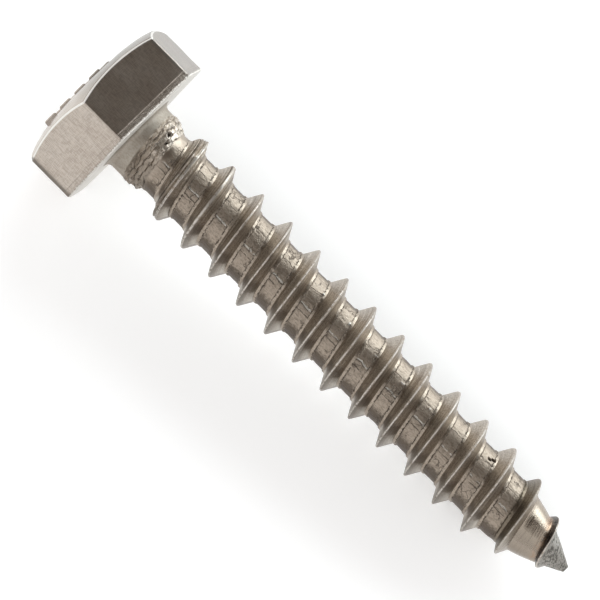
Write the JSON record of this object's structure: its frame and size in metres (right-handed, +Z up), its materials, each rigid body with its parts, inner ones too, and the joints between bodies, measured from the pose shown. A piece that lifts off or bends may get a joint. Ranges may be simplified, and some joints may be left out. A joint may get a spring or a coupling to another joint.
{
  "type": "lag screw",
  "caption": "Hex-head lag screw in plain stainless steel, with a coarse wood thread along nearly all of the shank and a gimlet point.",
  "frame": {"origin": "centre of the bounding box at the table the screw lies on", "axes": "+X along the table from the head to the point, +Z up, +Y across the screw; the screw lies on one flat of the head and on one thread crest, so its axis slopes down by 4.26 degrees towards +X"},
  "size_m": [0.0434, 0.0128, 0.0113],
  "materials": {
    "stainless_steel": "plain stainless, brushed on the head's flats, dull and rough in the thread's roots"
  },
  "bodies": {
    "root": {"lag_screw": "stainless_steel"}
  },
  "joints": []
}
